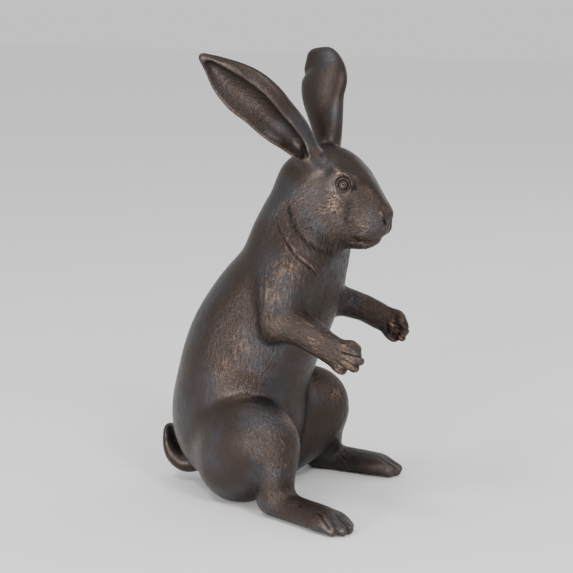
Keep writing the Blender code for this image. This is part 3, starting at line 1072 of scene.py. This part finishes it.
@dataclass(frozen=True)
class Bronze:
    """Dark brown patinated bronze, rubbed warm where it stands proud and black where it sinks; the
    black is partly the patina's own and partly painted shade.
    """

    brown: Colour = (0.040, 0.029, 0.024, 1.0)
    grey: Colour = (0.044, 0.041, 0.044, 1.0)
    worn: Colour = (0.150, 0.096, 0.068, 1.0)
    black: Colour = (0.010, 0.008, 0.008, 1.0)
    metallic: float = 0.80
    roughness: float = 0.40
    hair_width: float = 1.3         # millimetres, as are the sizes below
    hair_length: float = 6.5
    cloud_size: float = 45.0
    patch_size: float = 9.0
    speck_size: float = 2.4
    pit_size: float = 0.9
    furred_depth: tuple[float, float] = (0.06, 0.28)
    grey_clouds: tuple[float, float] = (0.46, 0.66)
    rubbed_range: tuple[float, float] = (0.12, 1.05)
    sunk_range: tuple[float, float] = (0.06, 0.75)
    bump_strength: float = 0.75
    bump_height: float = 0.8

    def hairs(self, shop: NodeShop, where: Value) -> Value:
        """Fine hairs as noise drawn out along each flow, summed by the flows' shares.

        Args:
            shop: Where the nodes are made.
            where: The place on the object.

        Returns:
            The hairs' height, from about -0.5 to 0.5.
        """
        total = None
        for flow in Flow:
            turn = Vector(flow.value).to_track_quat("Z", "Y").to_euler()
            size = (self.hair_width * MM, self.hair_width * MM, self.hair_length * MM)
            local = shop.node("ShaderNodeMapping", {"vector_type": "TEXTURE"}, Vector=where,
                              Rotation=turn, Scale=size)
            noise = shop.node("ShaderNodeTexNoise", {}, Vector=local, Scale=1.0, Detail=2.0,
                              Roughness=0.55)
            part = (noise - 0.5) * shop.attribute(flow.name.lower())
            total = part if total is None else total + part
        return total

    def material(self) -> bpy.types.Material:
        """The bronze as a material.

        Returns:
            A material whose colour, roughness and bump follow the relief that is stored on
            the mesh, broken up by noise in the object's own coordinates.
        """
        material = bpy.data.materials.new("patinated_bronze")
        shop = NodeShop(material)
        where = shop.node("ShaderNodeTexCoord", {}, out="Object")
        stroke, depth = shop.attribute("stroke"), shop.attribute("fur_depth")
        fine, relief = shop.attribute("fine_relief"), shop.attribute("relief")
        broad, touched = shop.attribute("broad_relief"), shop.attribute("touched")
        cloud = shop.noise(where, self.cloud_size, 3.0)
        patch = shop.noise(where, self.patch_size, 4.0, 0.6)
        speck = shop.noise(where, self.speck_size, 3.0, 0.65)
        pits = shop.noise(where, self.pit_size, 2.0, 0.6)
        hair = self.hairs(shop, where)
        furred = depth.between(*self.furred_depth)

        # Brown or grey, warm where it is rubbed and where spots paint highlights, black where it
        # sinks: dark patina in the hollows together with painted shade there
        colour = shop.mix(cloud.between(*self.grey_clouds), self.brown, self.grey)
        # The warm mix includes the spots: the bright ones are partly painted highlights and painted
        # fill light, and the dark ones hold it back as painted shade
        rubbed = (relief * 0.25 + broad * 0.25 + fine * 0.30 + stroke * furred * 0.10
                  + hair * furred * 0.7 + touched * 0.50 + (patch - 0.5) * 0.9
                  + (cloud - 0.5) * 0.7 + (speck - 0.5) * 0.9)
        bare = furred * 0.65 + touched.between(0.0, 0.8) * 0.4 + 0.3
        colour = shop.mix(rubbed.between(*self.rubbed_range) * bare, colour, self.worn)
        # Painted shade: hollows, creases and the low sides of the hairs are blackened, partly as
        # the patina's own dark and partly for the shade that falls there; spots below zero add more
        # painted shade
        sunk = (0.0 - relief * 0.18 - fine * 0.55 - hair * furred * 0.9 - touched * 0.35
                + (speck - 0.5) * 0.6)
        colour = shop.mix(sunk.between(*self.sunk_range) * 0.85, colour, self.black)
        shop.feed(shop.shader.inputs["Base Color"], colour)

        # Smoother where it is rubbed, duller in the hollows
        shop.feed(shop.shader.inputs["Roughness"],
                  self.roughness + (patch - 0.5) * 0.25 + (speck - 0.5) * 0.2
                  - touched.between(0.1, 0.9) * 0.16
                  + sunk.between(0.1, 1.0) * 0.2)
        shop.shader.inputs["Metallic"].default_value = self.metallic

        # Hairs, specks and pits too fine for the mesh
        height = (hair * (furred * 1.9 + 0.5) + speck * (furred * 1.3 + 0.3) + pits * 0.3
                  + patch * 0.4)
        bump = shop.node("ShaderNodeBump", {}, Strength=self.bump_strength,
                         Distance=self.bump_height * MM, Height=height)
        shop.feed(shop.shader.inputs["Normal"], bump)
        return material


def towards(azimuth: float, elevation: float) -> np.ndarray:
    """A direction of length one, from two angles in degrees.

    Args:
        azimuth: The angle from the rabbit's front towards its left.
        elevation: The angle above the floor.

    Returns:
        The direction, as sines and cosines of the two angles.
    """
    turn, rise = math.radians(azimuth), math.radians(elevation)
    return np.array((math.sin(turn) * math.cos(rise), -math.cos(turn) * math.cos(rise),
                     math.sin(rise)))


@dataclass(frozen=True)
class SoftBox:
    """A square soft box, placed from the middle of the rabbit, in degrees, metres and watts."""

    name: str
    from_camera: float              # how far round from the camera, towards the rabbit's left
    elevation: float
    distance: float
    size: float
    power: float


@dataclass
class Studio:
    """Plain pale floor, soft light and the camera. Lengths are in metres and angles in degrees."""

    target: Place = (-0.003, -0.01425, 0.2449)
    azimuth: float = -66.0
    elevation: float = 12.0
    distance: float = 2.0
    focal_pixels: float = 1754.4
    image_pixels: float = 573.0
    sensor: float = 36.0            # millimetres, as camera sensors are given
    floor_reach: float = 6.0
    floor_gap: float = 0.0002       # left under the feet
    floor_colour: Colour = (0.93, 0.93, 0.93, 1.0)
    floor_roughness: float = 0.7
    surroundings: Colour = (1.0, 1.0, 1.0, 1.0)
    surroundings_strength: float = 0.88
    boxes: Sequence[SoftBox] = (
        SoftBox("key", -30.0, 1.0, 2.3, 0.35, 52.0),
        SoftBox("fill", 30.0, 42.0, 2.4, 0.5, 24.0),
        SoftBox("top", -60.0, 62.0, 2.4, 0.5, 16.0),
        SoftBox("side", 135.0, 25.0, 2.4, 0.8, 6.0),
    )

    def floor(self) -> bpy.types.Object:
        """A wide pale floor just under the feet.

        Returns:
            The floor's object.
        """
        reach = self.floor_reach
        corners = np.array([(-reach, -reach, 0), (reach, -reach, 0), (reach, reach, 0),
                            (-reach, reach, 0)], float) - (0, 0, self.floor_gap)
        floor = bpy.data.objects.new("floor", mesh_of("floor", corners, np.array([[0, 1, 2, 3]])))
        material = bpy.data.materials.new("pale_floor")
        shop = NodeShop(material)
        shop.shader.inputs["Base Color"].default_value = self.floor_colour
        shop.shader.inputs["Roughness"].default_value = self.floor_roughness
        floor.data.materials.append(material)
        bpy.context.scene.collection.objects.link(floor)
        return floor

    def camera(self) -> bpy.types.Object:
        """The camera at the photograph's angle.

        Returns:
            The camera, which is now the scene's.
        """
        lens = bpy.data.cameras.new("camera")
        lens.sensor_width = self.sensor
        lens.lens = self.sensor * self.focal_pixels / self.image_pixels
        camera = bpy.data.objects.new("camera", lens)
        back = towards(self.azimuth, self.elevation)
        camera.location = np.array(self.target) + self.distance * back
        camera.rotation_euler = Vector(-back).to_track_quat("-Z", "Y").to_euler()
        bpy.context.scene.collection.objects.link(camera)
        bpy.context.scene.camera = camera
        return camera

    def lamp(self, box: SoftBox) -> bpy.types.Object:
        """Hangs one soft box, facing the rabbit.

        Args:
            box: Its place, size and power.

        Returns:
            The lamp's object.
        """
        away = Vector(towards(self.azimuth + box.from_camera, box.elevation))
        light = bpy.data.lights.new(box.name, "AREA")
        light.shape, light.size, light.energy = "SQUARE", box.size, box.power
        lamp = bpy.data.objects.new(box.name, light)
        lamp.location = Vector(self.target) + box.distance * away
        lamp.rotation_euler = (-away).to_track_quat("-Z", "Y").to_euler()
        bpy.context.scene.collection.objects.link(lamp)
        return lamp

    def light(self) -> None:
        """White surroundings and the soft boxes."""
        world = bpy.data.worlds.new("studio")
        world.use_nodes = True
        ground = world.node_tree.nodes["Background"]
        ground.inputs["Color"].default_value = self.surroundings
        ground.inputs["Strength"].default_value = self.surroundings_strength
        bpy.context.scene.world = world
        for box in self.boxes:
            self.lamp(box)


def main() -> None:
    """Builds the casting and its setting, and reports each piece."""
    logging.basicConfig(level=logging.INFO, format="%(message)s")
    studio = Studio()
    studio.camera()
    studio.floor()
    studio.light()
    rabbit = Casting().build()
    rabbit.data.materials.append(Bronze().material())
    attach(rabbit, "root")
    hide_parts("rabbit")
    LOG.info("rabbit_casting: %d faces", len(rabbit.data.polygons))


if __name__ == "__main__":
    main()
